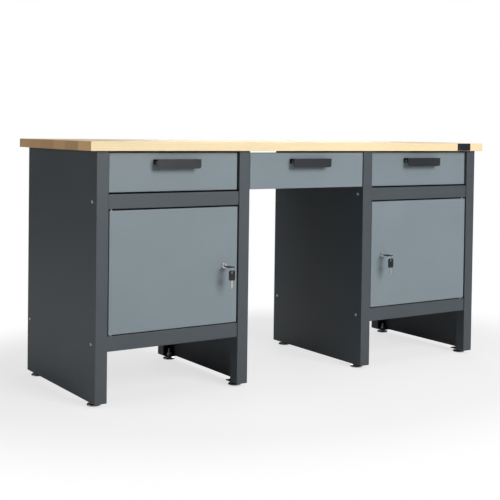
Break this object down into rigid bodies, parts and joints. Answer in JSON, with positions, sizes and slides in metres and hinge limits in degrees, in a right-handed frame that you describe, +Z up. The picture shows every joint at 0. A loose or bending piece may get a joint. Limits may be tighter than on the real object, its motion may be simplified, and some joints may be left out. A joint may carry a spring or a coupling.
{
  "type": "workbench with drawers",
  "caption": "Sheet-steel workbench with a solid wood top, a lockable cupboard and drawer in each pedestal, a drawer between them and levelling feet.",
  "frame": {"origin": "on the floor, under the middle of the whole bench with its keys and ring", "axes": "+X along the bench to the right as seen from the front, +Y to the back, +Z up"},
  "size_m": [1.7, 0.6416, 0.84],
  "materials": {
    "timber": "clear-oiled edge-glued solid wood",
    "frame_paint": "anthracite powder coat, fine texture",
    "front_paint": "blue-grey powder coat, fine texture",
    "handle_paint": "black-grey satin paint",
    "zinc": "bright zinc plating",
    "plate": "dark satin blank plate",
    "key_steel": "nickel-plated steel",
    "key_bow": "black moulded bow on a steel blade"
  },
  "bodies": {
    "bench": {"worktop": "timber", "edge_plate": "plate", "left_outer_side": "frame_paint", "left_inner_side": "frame_paint", "right_inner_side": "frame_paint", "right_outer_side": "frame_paint", "left_back": "frame_paint", "right_back": "frame_paint", "left_upper_rail": "frame_paint", "right_upper_rail": "frame_paint", "left_lower_rail": "frame_paint", "right_lower_rail": "frame_paint", "left_floor": "frame_paint", "right_floor": "frame_paint", "left_shelf": "frame_paint", "right_shelf": "frame_paint", "shelf_clips": "zinc", "worktop_screws": "zinc", "panel_screws": "zinc", "slide_rails": "zinc", "foot_nuts": "zinc", "hinge_pins": "zinc"},
    "left_drawer": {"left_drawer_box": "frame_paint", "left_drawer_front": "front_paint", "left_handle": "handle_paint", "left_handle_screws": "zinc", "left_drawer_runners": "zinc"},
    "middle_drawer": {"middle_drawer_box": "frame_paint", "middle_drawer_front": "front_paint", "middle_handle": "handle_paint", "middle_handle_screws": "zinc", "middle_drawer_runners": "zinc"},
    "right_drawer": {"right_drawer_box": "frame_paint", "right_drawer_front": "front_paint", "right_handle": "handle_paint", "right_handle_screws": "zinc", "right_drawer_runners": "zinc"},
    "left_door": {"left_door": "front_paint", "left_lock_body": "key_steel"},
    "left_lock": {"left_lock_plug": "key_steel", "left_lock_cam": "key_steel", "left_key": "key_bow"},
    "left_keys": {"left_key_ring": "key_steel", "left_spare_key": "key_bow"},
    "right_door": {"right_door": "front_paint", "right_lock_body": "key_steel"},
    "right_lock": {"right_lock_plug": "key_steel", "right_lock_cam": "key_steel", "right_key": "key_bow"},
    "right_keys": {"right_key_ring": "key_steel", "right_spare_key": "key_bow"},
    "foot_1": {"foot_1": "zinc"},
    "foot_2": {"foot_2": "zinc"},
    "foot_3": {"foot_3": "zinc"},
    "foot_4": {"foot_4": "zinc"},
    "foot_5": {"foot_5": "zinc"},
    "foot_6": {"foot_6": "zinc"},
    "foot_7": {"foot_7": "zinc"},
    "foot_8": {"foot_8": "zinc"}
  },
  "joints": [
    {"name": "left_drawer_slide", "type": "slide", "parent": "bench", "child": "left_drawer", "axis": [0, -1, 0], "range_m": [0, 0.4]},
    {"name": "middle_drawer_slide", "type": "slide", "parent": "bench", "child": "middle_drawer", "axis": [0, -1, 0], "range_m": [0, 0.4]},
    {"name": "right_drawer_slide", "type": "slide", "parent": "bench", "child": "right_drawer", "axis": [0, -1, 0], "range_m": [0, 0.4]},
    {"name": "left_door_hinge", "type": "hinge", "parent": "bench", "child": "left_door", "pos_m": [-0.767, -0.25317, 0.424], "axis": [0, 0, -1], "range_deg": [0, 110]},
    {"name": "left_lock_turn", "type": "hinge", "parent": "left_door", "child": "left_lock", "pos_m": [-0.349, -0.26117, 0.422], "axis": [0, 1, 0], "range_deg": [0, 90]},
    {"name": "left_keys_swing", "type": "hinge", "parent": "left_lock", "child": "left_keys", "pos_m": [-0.349, -0.31207, 0.422], "axis": [1, 0, 0], "range_deg": [-60, 12]},
    {"name": "right_door_hinge", "type": "hinge", "parent": "bench", "child": "right_door", "pos_m": [0.767, -0.25317, 0.424], "axis": [0, 0, 1], "range_deg": [0, 110]},
    {"name": "right_lock_turn", "type": "hinge", "parent": "right_door", "child": "right_lock", "pos_m": [0.349, -0.26117, 0.422], "axis": [0, -1, 0], "range_deg": [0, 90]},
    {"name": "right_keys_swing", "type": "hinge", "parent": "right_lock", "child": "right_keys", "pos_m": [0.349, -0.31207, 0.422], "axis": [1, 0, 0], "range_deg": [-60, 12]},
    {"name": "foot_1_level", "type": "slide", "parent": "bench", "child": "foot_1", "axis": [0, 0, -1], "range_m": [0, 0.02]},
    {"name": "foot_2_level", "type": "slide", "parent": "bench", "child": "foot_2", "axis": [0, 0, -1], "range_m": [0, 0.02]},
    {"name": "foot_3_level", "type": "slide", "parent": "bench", "child": "foot_3", "axis": [0, 0, -1], "range_m": [0, 0.02]},
    {"name": "foot_4_level", "type": "slide", "parent": "bench", "child": "foot_4", "axis": [0, 0, -1], "range_m": [0, 0.02]},
    {"name": "foot_5_level", "type": "slide", "parent": "bench", "child": "foot_5", "axis": [0, 0, -1], "range_m": [0, 0.02]},
    {"name": "foot_6_level", "type": "slide", "parent": "bench", "child": "foot_6", "axis": [0, 0, -1], "range_m": [0, 0.02]},
    {"name": "foot_7_level", "type": "slide", "parent": "bench", "child": "foot_7", "axis": [0, 0, -1], "range_m": [0, 0.02]},
    {"name": "foot_8_level", "type": "slide", "parent": "bench", "child": "foot_8", "axis": [0, 0, -1], "range_m": [0, 0.02]}
  ]
}
